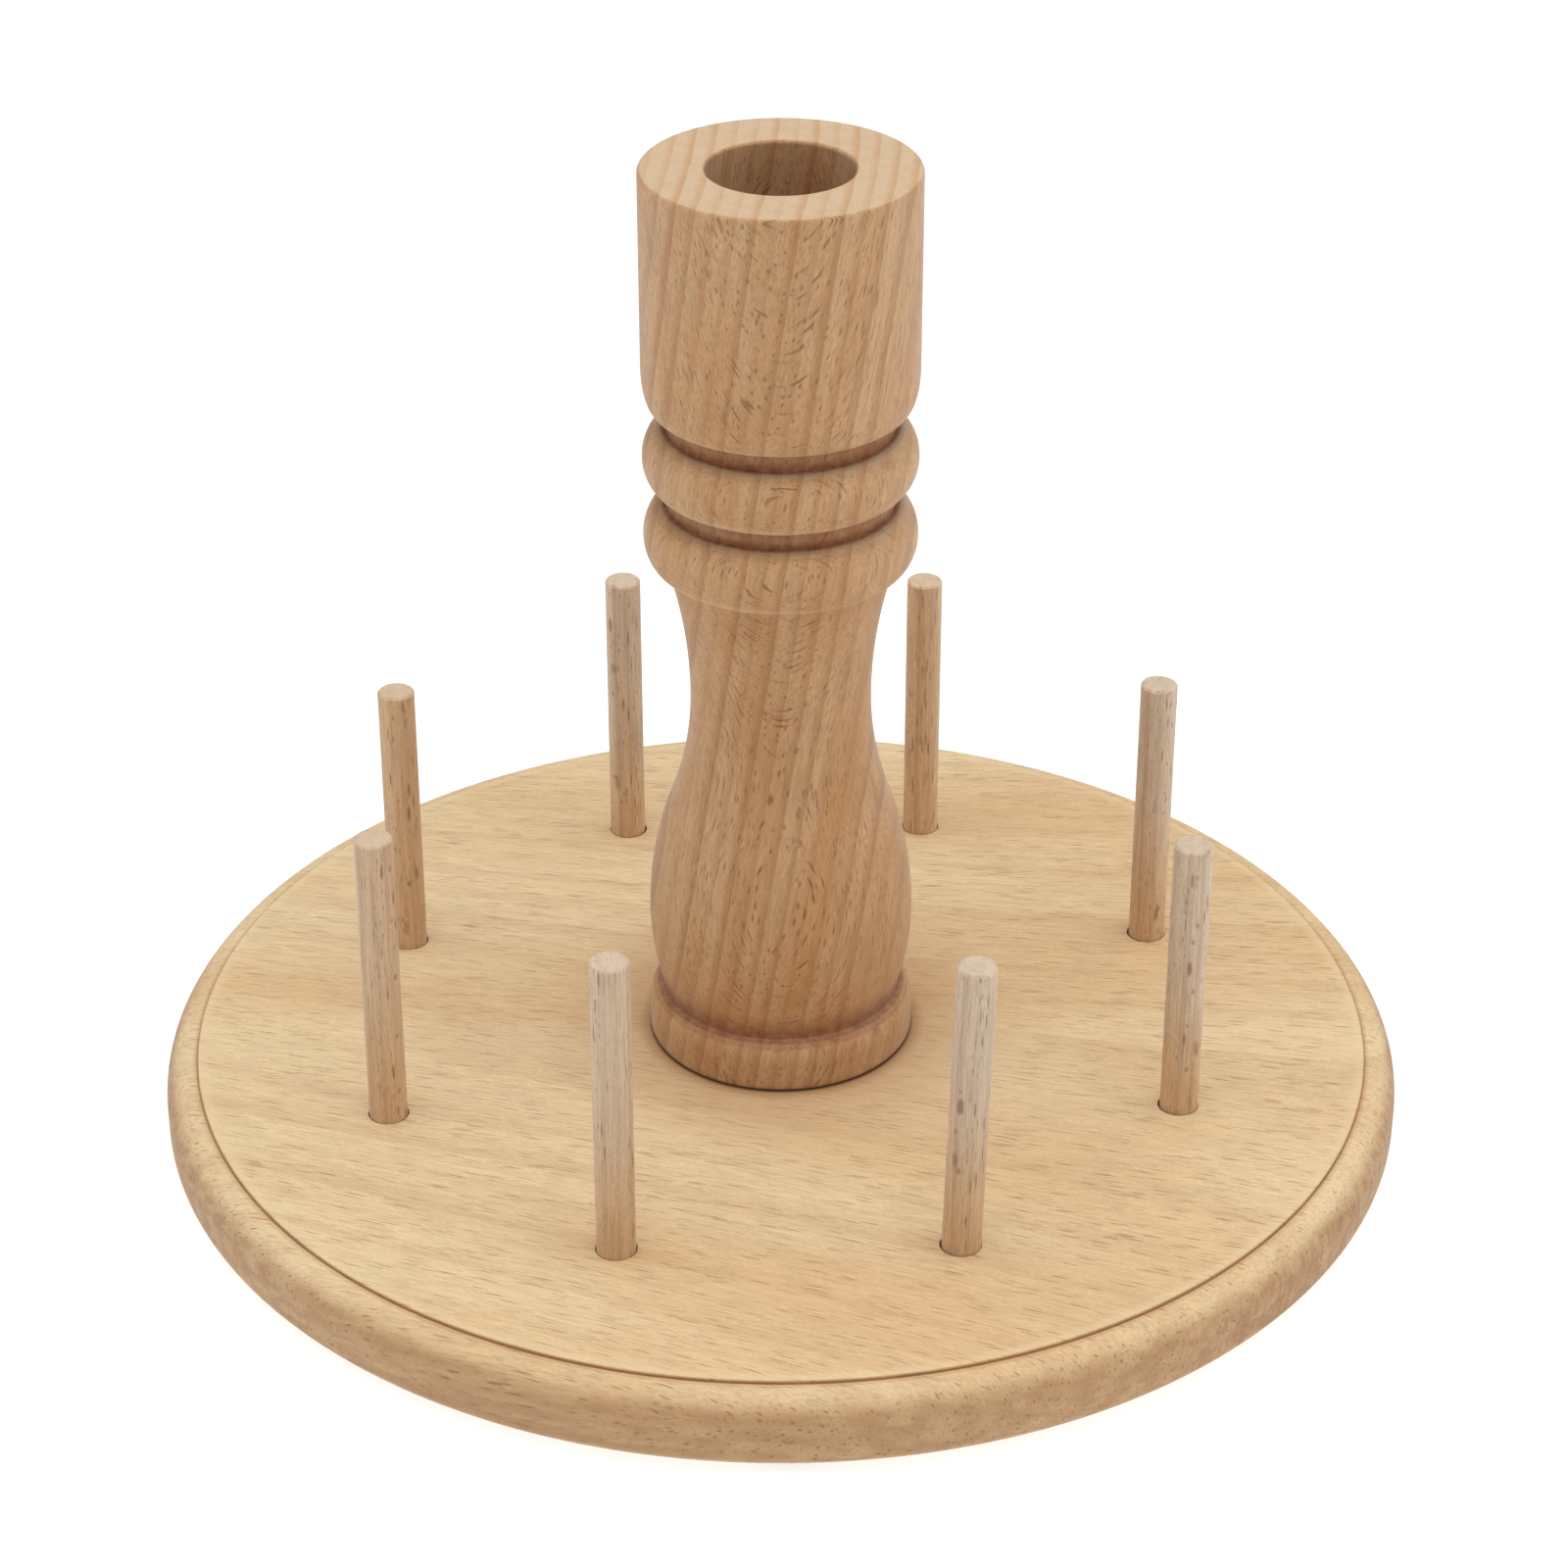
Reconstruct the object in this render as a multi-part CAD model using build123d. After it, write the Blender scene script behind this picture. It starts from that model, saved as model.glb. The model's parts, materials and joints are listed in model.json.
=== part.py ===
"""Thread spool stand: a round base disc, a turned centre column with a tool bore, and eight pegs.

The origin is on the table, under the middle of the disc. +Z is up along the column.
"""

from build123d import *
import math
import os

# Driving dimensions, in millimetres -------------------------------------------------

# Base disc
disc_radius = 100.0
disc_thickness = 12.0
disc_rim_width = 5.2
disc_deck_step = 0.5
disc_lower_rounding = 2.5

# Ring of pegs, cut from dowel and standing loose in blind holes
peg_lengths = (56.0, 57.0, 57.5, 56.0, 58.5, 59.0, 57.5, 56.0)
peg_circle_radius = 67.5
peg_first_angle = 22.5
peg_radius = 3.0
peg_chamfer = 0.4
peg_hole_clearance = 0.18
peg_hole_depth = 8.0
peg_rest_angles = (0, 270, 180, 270, 270, 270, 0, 0)
peg_rest_share = 0.6
leaning_peg = 7
leaning_peg_share = 0.58

# Centre column: its widest radius, and how far its turned features differ from it
column_radius = 21.0
foot_overhang = 0.2
foot_groove_depth = 2.2
waist_depth = 6.9
bead_groove_depth = 3.5

# Centre column: heights of its turned features, from the disc upwards
column_height = 147.5
foot_height = 8.6
foot_lower_rounding = 0.9
foot_upper_rounding = 3.6
foot_groove_height = 0.8
bulb_lower_height = 13.1
bulb_to_waist_height = 38.5
bulb_arc_share = 0.52
waist_to_bead_height = 22.6
lower_bead_height = 10.4
bead_gap = 2.8
upper_bead_height = 9.9
barrel_gap = 3.4
barrel_lower_rounding_height = 6.3
barrel_lower_rounding_depth = 1.8
column_top_rounding = 0.7

# Bore for tools, in the column's top
bore_radius = 11.1
bore_depth = 60.0
bore_mouth_rounding = 0.6
bore_mark_radius = 1.6
bore_mark_depth = 1.0

# Wood screw, up through the disc into the column
screw_length = 40.0
screw_radius = 2.25
screw_tip_height = 4.0
screw_head_radius = 4.5
screw_head_rim_height = 0.5
screw_head_sink = 0.8
screw_recess_width = 1.0
screw_recess_length = 5.2
screw_recess_depth = 1.8
screw_hole_clearance = 0.3
screw_pilot_radius = 1.6
screw_pilot_spare_depth = 2.0

# Stick-on foot pads
pad_count = 4
pad_radius = 10.0
pad_thickness = 1.5
pad_inset = 13.5
pad_edge_rounding = 0.3
pad_names = ("right", "back", "left", "front")

# Sizes and levels that the pieces share ---------------------------------------------

peg_count = len(peg_lengths)
disc_deck_radius = disc_radius - disc_rim_width
pad_circle_radius = disc_radius - pad_inset
foot_radius = column_radius + foot_overhang
foot_groove_radius = foot_radius - foot_groove_depth
waist_radius = column_radius - waist_depth
bead_groove_radius = column_radius - bead_groove_depth

disc_bottom = pad_thickness
disc_top = disc_bottom + disc_thickness
peg_hole_floor = disc_top - peg_hole_depth
column_top = disc_top + column_height
bore_floor = column_top - bore_depth
screw_head_bottom = disc_bottom + screw_head_sink
screw_tip = screw_head_bottom + screw_length

foot_top = disc_top + foot_height
bulb_bottom = foot_top + foot_groove_height
bulb_widest = bulb_bottom + bulb_lower_height
waist = bulb_widest + bulb_to_waist_height
lower_bead_bottom = waist + waist_to_bead_height
lower_bead_top = lower_bead_bottom + lower_bead_height
upper_bead_bottom = lower_bead_top + bead_gap
upper_bead_top = upper_bead_bottom + upper_bead_height
barrel_bottom = upper_bead_top + barrel_gap


# Outline helpers: every outline is drawn as radius and height --------------------------


def turned(edges):
    """The solid that a closed outline of radius and height sweeps round the Z axis."""
    return revolve(Plane.XZ * make_face(edges), Axis.Z)


def path(*points):
    """Straight edges from each point to the next."""
    return [Line(start, end) for start, end in zip(points, points[1:])]


def rounding(centre, width, height, start_angle):
    """A quarter of an ellipse round the centre, anticlockwise from the start angle."""
    return EllipticalCenterArc(centre, width, height, start_angle, arc_size=90)


def bead(bottom, top):
    """Half an ellipse that stands out of the bead grooves as far as the column's side."""
    centre = (bead_groove_radius, (bottom + top) / 2)
    height = (top - bottom) / 2
    return EllipticalCenterArc(centre, bead_groove_depth, height, -90, arc_size=180)


def arc_from_upright(upright, other):
    """A circular arc between two points that runs straight up at the first one."""
    across = other[0] - upright[0]
    along = other[1] - upright[1]
    radius = (across**2 + along**2) / (2 * abs(across))
    side = math.copysign(1, across)
    centre_x = upright[0] + side * radius
    half_angle = math.atan2(abs(along), radius - abs(across)) / 2
    middle = (
        centre_x - side * radius * math.cos(half_angle),
        upright[1] + math.copysign(radius * math.sin(half_angle), along),
    )
    return ThreePointArc(upright, middle, other)


def bulb_to_waist():
    """Two arcs that meet smoothly: the bulb's upper side, then the start of the waist."""
    radius_sum = (waist_depth**2 + bulb_to_waist_height**2) / (2 * waist_depth)
    turn = math.asin(bulb_to_waist_height / radius_sum)
    bulb_arc_radius = bulb_arc_share * radius_sum
    meeting = (
        column_radius - bulb_arc_radius * (1 - math.cos(turn)),
        bulb_widest + bulb_arc_radius * math.sin(turn),
    )
    return [
        arc_from_upright((column_radius, bulb_widest), meeting),
        arc_from_upright((waist_radius, waist), meeting),
    ]


# Pieces --------------------------------------------------------------------------------


def base_disc():
    """Flat deck, a small step down to a quarter-round rim, and an eased lower edge."""
    return turned(disc_outline()) - peg_holes() - screw_way()


def disc_outline():
    """Out along the underside, round the rim, over the step and back along the deck."""
    flat_radius = disc_radius - disc_lower_rounding
    side_bottom = disc_bottom + disc_lower_rounding
    rim_shoulder = disc_top - disc_deck_step
    side_top = rim_shoulder - disc_rim_width
    return [
        *path((0, disc_bottom), (flat_radius, disc_bottom)),
        rounding((flat_radius, side_bottom), disc_lower_rounding, disc_lower_rounding, -90),
        *path((disc_radius, side_bottom), (disc_radius, side_top)),
        rounding((disc_deck_radius, side_top), disc_rim_width, disc_rim_width, 0),
        *path(
            (disc_deck_radius, rim_shoulder),
            (disc_deck_radius, disc_top),
            (0, disc_top),
            (0, disc_bottom),
        ),
    ]


def peg_holes():
    """The ring of blind holes that the pegs stand in."""
    hole_radius = peg_radius + peg_hole_clearance
    hole = Cylinder(hole_radius, peg_hole_depth, align=(Align.CENTER, Align.CENTER, Align.MIN))
    ring = PolarLocations(peg_circle_radius, peg_count, peg_first_angle)
    return [Pos(Z=peg_hole_floor) * place * hole for place in ring]


def screw_way():
    """Clearance hole and countersink for the screw, from below."""
    hole_radius = screw_radius + screw_hole_clearance
    seat_top = screw_head_bottom + screw_head_rim_height + screw_head_radius - hole_radius
    outline = path(
        (0, disc_bottom),
        (screw_head_radius, disc_bottom),
        (screw_head_radius, screw_head_bottom + screw_head_rim_height),
        (hole_radius, seat_top),
        (hole_radius, disc_top),
        (0, disc_top),
        (0, disc_bottom),
    )
    return turned(outline)


def column():
    """Turned post: foot ring, bulb, waist, two beads and a barrel with a bore in its top."""
    outline = foot_outline() + bulb_outline() + bead_outline() + barrel_outline()
    outline += bore_outline()
    return turned(outline) - screw_pilot()


def foot_outline():
    """From the axis out to the foot ring, and up into the groove above it."""
    flat_radius = foot_radius - foot_lower_rounding
    side_bottom = disc_top + foot_lower_rounding
    side_top = foot_top - foot_upper_rounding
    return [
        *path((0, disc_top), (flat_radius, disc_top)),
        rounding((flat_radius, side_bottom), foot_lower_rounding, foot_lower_rounding, -90),
        *path((foot_radius, side_bottom), (foot_radius, side_top)),
        rounding((foot_groove_radius, side_top), foot_groove_depth, foot_upper_rounding, 0),
        *path((foot_groove_radius, foot_top), (foot_groove_radius, bulb_bottom)),
    ]


def bulb_outline():
    """Out over the bulb, in to the waist, and out again to the foot of the lower bead."""
    return [
        arc_from_upright((column_radius, bulb_widest), (foot_groove_radius, bulb_bottom)),
        *bulb_to_waist(),
        arc_from_upright((waist_radius, waist), (bead_groove_radius, lower_bead_bottom)),
    ]


def bead_outline():
    """The two beads with the groove between them, and the groove above."""
    return [
        bead(lower_bead_bottom, lower_bead_top),
        *path((bead_groove_radius, lower_bead_top), (bead_groove_radius, upper_bead_bottom)),
        bead(upper_bead_bottom, upper_bead_top),
        *path((bead_groove_radius, upper_bead_top), (bead_groove_radius, barrel_bottom)),
    ]


def barrel_outline():
    """From the upper groove out round the barrel's lower edge, and up to its top."""
    ledge_radius = column_radius - barrel_lower_rounding_depth
    side_bottom = barrel_bottom + barrel_lower_rounding_height
    flat_radius = column_radius - column_top_rounding
    side_top = column_top - column_top_rounding
    return [
        *path((bead_groove_radius, barrel_bottom), (ledge_radius, barrel_bottom)),
        rounding(
            (ledge_radius, side_bottom),
            barrel_lower_rounding_depth,
            barrel_lower_rounding_height,
            -90,
        ),
        *path((column_radius, side_bottom), (column_radius, side_top)),
        rounding((flat_radius, side_top), column_top_rounding, column_top_rounding, 0),
    ]


def bore_outline():
    """Across the column's top, round the bore's mouth, and down to the drill's centre mark."""
    flat_radius = column_radius - column_top_rounding
    mouth_radius = bore_radius + bore_mouth_rounding
    wall_top = column_top - bore_mouth_rounding
    return [
        *path((flat_radius, column_top), (mouth_radius, column_top)),
        rounding((mouth_radius, wall_top), bore_mouth_rounding, bore_mouth_rounding, 90),
        *path(
            (bore_radius, wall_top),
            (bore_radius, bore_floor),
            (bore_mark_radius, bore_floor),
            (0, bore_floor - bore_mark_depth),
            (0, disc_top),
        ),
    ]


def screw_pilot():
    """The narrower hole that the screw cuts its thread in, up the column's foot."""
    pilot_top = screw_tip + screw_pilot_spare_depth
    depth = pilot_top - disc_top
    pilot = Cylinder(screw_pilot_radius, depth, align=(Align.CENTER, Align.CENTER, Align.MIN))
    return Pos(Z=disc_top) * pilot


def column_screw():
    """Countersunk wood screw, its thread drawn as a plain cylinder of its outer size."""
    head_top = screw_head_bottom + screw_head_rim_height + screw_head_radius - screw_radius
    outline = path(
        (0, screw_head_bottom),
        (screw_head_radius, screw_head_bottom),
        (screw_head_radius, screw_head_bottom + screw_head_rim_height),
        (screw_radius, head_top),
        (screw_radius, screw_tip - screw_tip_height),
        (0, screw_tip),
        (0, screw_head_bottom),
    )
    slot = Box(
        screw_recess_length,
        screw_recess_width,
        screw_recess_depth,
        align=(Align.CENTER, Align.CENTER, Align.MIN),
    )
    recess = [Pos(Z=screw_head_bottom) * Rot(Z=angle) * slot for angle in (0, 90)]
    return turned(outline) - recess


def peg(number):
    """One peg, with small chamfers, loose in its hole; all but the leaning one stand upright."""
    length = peg_lengths[number - 1]
    dowel = Cylinder(peg_radius, length, align=(Align.CENTER, Align.CENTER, Align.MIN))
    dowel = chamfer(dowel.edges().filter_by(GeomType.CIRCLE), peg_chamfer)
    direction = math.radians(peg_first_angle + (number - 1) * 360 / peg_count)
    x = peg_circle_radius * math.cos(direction)
    y = peg_circle_radius * math.sin(direction)
    lean = 0.0
    if number == leaning_peg:
        lean = leaning_peg_share * math.atan2(2 * peg_hole_clearance, peg_hole_depth)
    else:
        # An upright peg has settled towards one side of its hole.
        rest = math.radians(peg_rest_angles[number - 1])
        x += peg_rest_share * peg_hole_clearance * math.cos(rest)
        y += peg_rest_share * peg_hole_clearance * math.sin(rest)
    # A leaning peg turns about the middle of its hole and stands on the edge of its end.
    bottom_x = x - peg_hole_depth / 2 * math.sin(lean)
    bottom_z = peg_hole_floor + (peg_radius - peg_chamfer) * math.sin(lean)
    return Pos(bottom_x, y, bottom_z) * Rot(Y=math.degrees(lean)) * dowel


def foot_pad(side):
    """One round pad with an eased lower edge."""
    pad = Cylinder(pad_radius, pad_thickness, align=(Align.CENTER, Align.CENTER, Align.MIN))
    pad = fillet(pad.edges().group_by(Axis.Z)[0], pad_edge_rounding)
    return Rot(Z=side * 360 / pad_count) * Pos(X=pad_circle_radius) * pad


def main():
    os.makedirs("parts", exist_ok=True)
    pieces = {
        "base_disc": base_disc(),
        "column": column(),
        "column_screw": column_screw(),
    }
    for number in range(1, peg_count + 1):
        pieces[f"peg_{number}"] = peg(number)
    for side, name in enumerate(pad_names):
        pieces[f"foot_pad_{name}"] = foot_pad(side)
    for name, piece in pieces.items():
        export_step(piece, f"parts/{name}.step")


main()
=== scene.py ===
"""Turned beech thread spool stand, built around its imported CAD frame, laid out as a Blender add-on."""

import json
import math

import bmesh
import bpy
from bpy.props import FloatProperty, FloatVectorProperty, IntProperty, PointerProperty
from mathutils import Matrix, Vector, noise


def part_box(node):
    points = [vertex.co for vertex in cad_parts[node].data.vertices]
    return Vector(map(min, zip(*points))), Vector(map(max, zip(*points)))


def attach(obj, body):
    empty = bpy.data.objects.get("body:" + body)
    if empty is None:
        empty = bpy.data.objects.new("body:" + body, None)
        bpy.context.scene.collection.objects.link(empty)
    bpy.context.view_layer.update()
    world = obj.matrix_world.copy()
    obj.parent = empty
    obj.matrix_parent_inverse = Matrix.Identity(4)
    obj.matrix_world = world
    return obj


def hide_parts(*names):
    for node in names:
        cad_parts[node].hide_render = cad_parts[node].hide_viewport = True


bl_info = {
    "name": "Thread Spool Stand",
    "version": (1, 0, 0),
    "blender": (4, 5, 0),
    "location": "3D View > Sidebar > Spool Stand",
    "description": "Builds a turned beech spool stand with eight loose pegs",
    "category": "Object",
}

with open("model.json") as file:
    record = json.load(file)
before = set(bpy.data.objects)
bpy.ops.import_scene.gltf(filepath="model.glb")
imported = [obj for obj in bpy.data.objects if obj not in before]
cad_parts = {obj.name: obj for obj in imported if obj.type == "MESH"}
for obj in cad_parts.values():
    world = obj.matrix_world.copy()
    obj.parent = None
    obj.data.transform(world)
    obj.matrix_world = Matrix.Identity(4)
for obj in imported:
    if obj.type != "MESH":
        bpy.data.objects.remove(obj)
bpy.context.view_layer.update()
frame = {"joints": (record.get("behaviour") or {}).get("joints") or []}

MM = 0.001
MICRON = 0.000001
PEG_COUNT = 8
PAD_SIDES = ("right", "back", "left", "front")
GRAIN_HEIGHT = 13.5 * MM
PEG_BLEACH = (1.0, 0.3, 1.0, 0.2, 0.55, 0.8, 1.0, 1.0)
SHARP_ANGLE = math.radians(32)
BULB_ARC_SHARE = 0.52
FIRST_PEG_ANGLE = 22.5
PILOT_SPARE = 2.0 * MM
FOOT_EASE = 0.9 * MM
FOOT_SLOPE = 3.6 * MM
FOOT_GROOVE_HEIGHT = 0.8 * MM
BARREL_INSET = 1.8 * MM
BARREL_EASE = 6.3 * MM
DRILL_POINT = (1.6 * MM, 1.0 * MM)
UP = Vector((0, 0, 1))


# Sizes and colours a user would change -------------------------------------------------


def length(name, description, millimetres):
    """A length property in metres."""
    return FloatProperty(
        name=name,
        description=description,
        default=millimetres * MM,
        min=0,
        subtype="DISTANCE",
        unit="LENGTH",
        precision=5,
    )


def linear(channel):
    """One sRGB channel, 0 to 255, as a linear value."""
    share = channel / 255
    if share <= 0.04045:
        return share / 12.92
    return ((share + 0.055) / 1.055) ** 2.4


def colour(name, description, red, green, blue):
    """A colour property whose default is given in sRGB, 0 to 255."""
    return FloatVectorProperty(
        name=name,
        description=description,
        default=(linear(red), linear(green), linear(blue), 1.0),
        size=4,
        min=0,
        max=1,
        subtype="COLOR",
    )


class SpoolStandDisc(bpy.types.PropertyGroup):
    """Base disc."""

    rim_width: length("Rim width", "How far the deck's edge stands in from the rim", 5.2)
    deck_step: length("Deck step", "Drop from the deck to the rim's shoulder", 0.5)
    deck_ease: length("Deck ease", "Rounding of the deck's own edge", 0.3)
    lower_rounding: length("Lower rounding", "Rounding of the disc's lower edge", 2.5)
    peg_ring: length("Peg ring", "Radius of the ring of peg holes", 67.5)
    hole_radius: length("Hole radius", "Radius of each peg hole", 3.18)
    hole_depth: length("Hole depth", "Depth of each peg hole", 8.0)
    hole_ease: length("Hole ease", "Worn edge round each peg hole", 0.06)
    screw_way: length("Screw way", "Radius of the hole that the screw passes", 2.55)
    segments: IntProperty(name="Segments", description="Steps round the disc", default=288, min=24)
    pale: colour("Pale wood", "Lightest deck colour", 233, 208, 165)
    tan: colour("Tan wood", "Warmer patches of the deck", 223, 190, 144)
    ring: colour("Growth ring", "Late wood in the disc", 192, 152, 110)
    # Rim colour is the side grain, also darkened to stand in for the shade on the rim's upright side.
    rim: colour("Rim", "Side grain round the rim", 182, 142, 101)
    fleck: colour("Flecks", "Short dark ray flecks in the disc", 148, 98, 56)
    # Groove colour is painted shade in the step at the deck's edge and down the peg holes, and a painted
    # shadow round the column's foot.
    groove: colour("Groove", "Scored line at the deck's edge, and grime by the foot", 160, 108, 62)
    # Seam colour is a painted contact shadow where the column's foot stands on the deck.
    seam: colour("Seam", "Dark seam where the column stands on the deck", 72, 44, 26)


class SpoolStandColumn(bpy.types.PropertyGroup):
    """Centre column."""

    radius: length("Radius", "Widest radius of the turned post", 21.0)
    foot_overhang: length("Foot overhang", "How much wider the foot ring is", 0.2)
    foot_height: length("Foot height", "Height of the foot ring", 8.6)
    foot_groove: length("Foot groove", "Depth of the groove above the foot ring", 2.2)
    bulb_height: length("Bulb height", "From the foot groove to the bulb's widest ring", 13.1)
    neck_height: length("Neck height", "From the bulb's widest ring to the waist", 38.5)
    waist_depth: length("Waist depth", "How far the waist pulls in", 6.9)
    flare_height: length("Flare height", "From the waist to the lower bead", 22.6)
    bead_groove: length("Bead groove", "Depth of the grooves beside the beads", 3.5)
    lower_bead: length("Lower bead", "Height of the lower bead", 10.4)
    upper_bead: length("Upper bead", "Height of the upper bead", 9.9)
    bead_gap: length("Bead gap", "Flat between the two beads", 2.8)
    barrel_gap: length("Barrel gap", "Flat between the upper bead and the barrel", 3.4)
    top_rounding: length("Top rounding", "Rounding round the column's top", 0.7)
    bore_radius: length("Bore radius", "Radius of the tool bore", 11.1)
    bore_depth: length("Bore depth", "Depth of the tool bore", 60.0)
    bore_rounding: length("Bore rounding", "Rounding round the bore's mouth", 0.6)
    segments: IntProperty(name="Segments", description="Steps round the column", default=160, min=24)
    pale: colour("Pale wood", "Lighter streaks of the column", 204, 166, 124)
    tan: colour("Tan wood", "Warmer streaks of the column", 194, 147, 99)
    ring: colour("Growth ring", "Late wood in the column", 160, 108, 66)
    fleck: colour("Flecks", "Ray flecks in the column", 122, 74, 42)
    cut: colour("Cut end", "End grain on the column's top", 208, 179, 144)
    # Groove colour is painted shade: it darkens the grooves, the undersides of the beads and barrel, the
    # foot and the bore.
    groove: colour("Groove", "Burnished wood in the grooves and the bore", 134, 78, 48)


class SpoolStandPegs(bpy.types.PropertyGroup):
    """Loose pegs."""

    radius: length("Radius", "Radius of the dowel", 3.0)
    chamfer: length("Chamfer", "Broken edge at each end", 0.4)
    saw_wander: length("Saw wander", "How uneven the sawn ends are", 0.18)
    segments: IntProperty(name="Segments", description="Steps round each peg", default=64, min=12)
    pale: colour("Pale wood", "Bleached upper part of the pegs", 214, 194, 170)
    tan: colour("Tan wood", "Warmer lower part of the pegs", 218, 179, 136)
    ring: colour("Growth ring", "Late wood in the pegs", 170, 130, 94)
    fleck: colour("Flecks", "Dark flecks in the pegs", 128, 86, 56)


class SpoolStandScrew(bpy.types.PropertyGroup):
    """Column screw."""

    radius: length("Radius", "Outer radius of the thread", 2.25)
    root_radius: length("Root radius", "Radius of the core under the thread", 1.6)
    tip_height: length("Tip", "Height of the pointed tip", 4.0)
    rim_height: length("Head rim", "Height of the head's straight rim", 0.5)
    pitch: length("Pitch", "Rise of the thread in each turn", 1.8)
    plain_shank: length("Plain shank", "Unthreaded length under the head", 10.0)
    recess_width: length("Recess width", "Width of each arm of the cross", 1.0)
    recess_length: length("Recess length", "Length of each arm of the cross", 5.2)
    recess_depth: length("Recess depth", "Depth of the cross", 1.8)
    zinc: colour("Zinc", "Bright zinc plating", 196, 198, 200)


class SpoolStandPads(bpy.types.PropertyGroup):
    """Stick-on foot pads."""

    edge_rounding: length("Edge rounding", "Rounding of the pad's lower edge", 0.3)
    crown: length("Crown", "How far the foam edge bulges in at its rim", 0.15)
    foam: colour("Foam", "Dark matte foam", 44, 42, 40)


class SpoolStandStage(bpy.types.PropertyGroup):
    """Camera, floor and lights."""

    lens: FloatProperty(name="Lens", description="Focal length in mm", default=91.0, min=10)
    elevation: FloatProperty(
        name="Elevation",
        description="Camera's angle above the table",
        default=math.radians(29.64),
        subtype="ANGLE",
    )
    azimuth: FloatProperty(
        name="Azimuth",
        description="Camera's direction round the stand",
        default=math.radians(-91.1),
        subtype="ANGLE",
    )
    distance: length("Distance", "From the camera to the point it looks at", 627.0)
    aim_height: length("Aim height", "Height of the point that the camera looks at", 57.8)
    floor: colour("Floor", "Plain pale floor", 160, 160, 160)


# Shader helpers -----------------------------------------------------------------------


def add_node(tree, kind, settings=None, **sockets):
    """A node with its settings, each socket linked or given its value."""
    node = tree.nodes.new(kind)
    for name, value in (settings or {}).items():
        setattr(node, name, value)
    for name, value in sockets.items():
        connect(tree, node.inputs[name.replace("_", " ")], value)
    return node


def connect(tree, socket, value):
    """Links another node's socket to this one, or sets a plain value."""
    if isinstance(value, bpy.types.NodeSocket):
        tree.links.new(value, socket)
    else:
        socket.default_value = value


def calc(tree, operation, *values, clamp=False):
    """A Math node's result."""
    node = tree.nodes.new("ShaderNodeMath")
    node.operation = operation
    node.use_clamp = clamp
    for socket, value in zip(node.inputs, values):
        connect(tree, socket, value)
    return node.outputs[0]


def vector_calc(tree, operation, first, second):
    """A Vector Math node's vector result. The second value of a SCALE is a number."""
    node = tree.nodes.new("ShaderNodeVectorMath")
    node.operation = operation
    connect(tree, node.inputs[0], first)
    connect(tree, node.inputs["Scale"] if operation == "SCALE" else node.inputs[1], second)
    return node.outputs["Vector"]


def mix_colour(tree, factor, first, second):
    """Blends two colours."""
    node = tree.nodes.new("ShaderNodeMix")
    node.data_type = "RGBA"
    connect(tree, node.inputs[0], factor)
    connect(tree, node.inputs[6], first)
    connect(tree, node.inputs[7], second)
    return node.outputs[2]


def remap(tree, value, low, high, new_low=0.0, new_high=1.0, smooth=True):
    """Maps low..high to new_low..new_high, held at the ends."""
    settings = {"interpolation_type": "SMOOTHSTEP" if smooth else "LINEAR"}
    ends = {"From_Min": low, "From_Max": high, "To_Min": new_low, "To_Max": new_high}
    return add_node(tree, "ShaderNodeMapRange", settings, Value=value, **ends).outputs["Result"]


def between(tree, share, low, high):
    """A value from low to high, by a share from 0 to 1."""
    return remap(tree, share, 0.0, 1.0, low, high, smooth=False)


def stretched(tree, vector, across, radial, along):
    """The wood coordinates with each axis divided by its own length in millimetres."""
    scale = (1 / radial, 1 / across, 1 / along)
    return vector_calc(tree, "MULTIPLY", vector, scale)


def noise_value(tree, vector, detail=2.0, roughness=0.5):
    """Plain noise, about 0.5 on average."""
    sockets = {"Vector": vector, "Scale": 1.0, "Detail": detail, "Roughness": roughness}
    return add_node(tree, "ShaderNodeTexNoise", **sockets).outputs["Fac"]


def noise_vector(tree, vector, amount):
    """Noise as a shift of up to half the amount each way, in millimetres."""
    node = add_node(tree, "ShaderNodeTexNoise", Vector=vector, Scale=1.0, Detail=1.0)
    centred = vector_calc(tree, "SUBTRACT", node.outputs["Color"], (0.5, 0.5, 0.5))
    return vector_calc(tree, "MULTIPLY", centred, amount)


def flat_length(tree, vector):
    """Length of a vector seen along its Z."""
    node = add_node(tree, "ShaderNodeVectorMath", {"operation": "LENGTH"})
    tree.links.new(vector_calc(tree, "MULTIPLY", vector, (1, 1, 0)), node.inputs[0])
    return node.outputs["Value"]


def add_bump(tree, shader, height, strength, distance):
    """Fine relief, in metres."""
    bump = add_node(tree, "ShaderNodeBump", Height=height, Strength=strength, Distance=distance)
    tree.links.new(bump.outputs["Normal"], shader.inputs["Normal"])


def new_material(name):
    """An empty node material and its shader."""
    material = bpy.data.materials.new(name)
    material.use_nodes = True
    tree = material.node_tree
    tree.nodes.clear()
    output = tree.nodes.new("ShaderNodeOutputMaterial")
    shader = tree.nodes.new("ShaderNodeBsdfPrincipled")
    tree.links.new(shader.outputs["BSDF"], output.inputs["Surface"])
    return material, tree, shader


# Beech --------------------------------------------------------------------------------


def wood_axes(along, radial):
    """Rotation whose Z runs along the grain and whose X runs across the growth rings."""
    z_axis = Vector(along).normalized()
    x_axis = (Vector(radial) - z_axis * z_axis.dot(Vector(radial))).normalized()
    y_axis = z_axis.cross(x_axis)
    return Matrix((x_axis, y_axis, z_axis)).transposed().to_euler()


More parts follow.
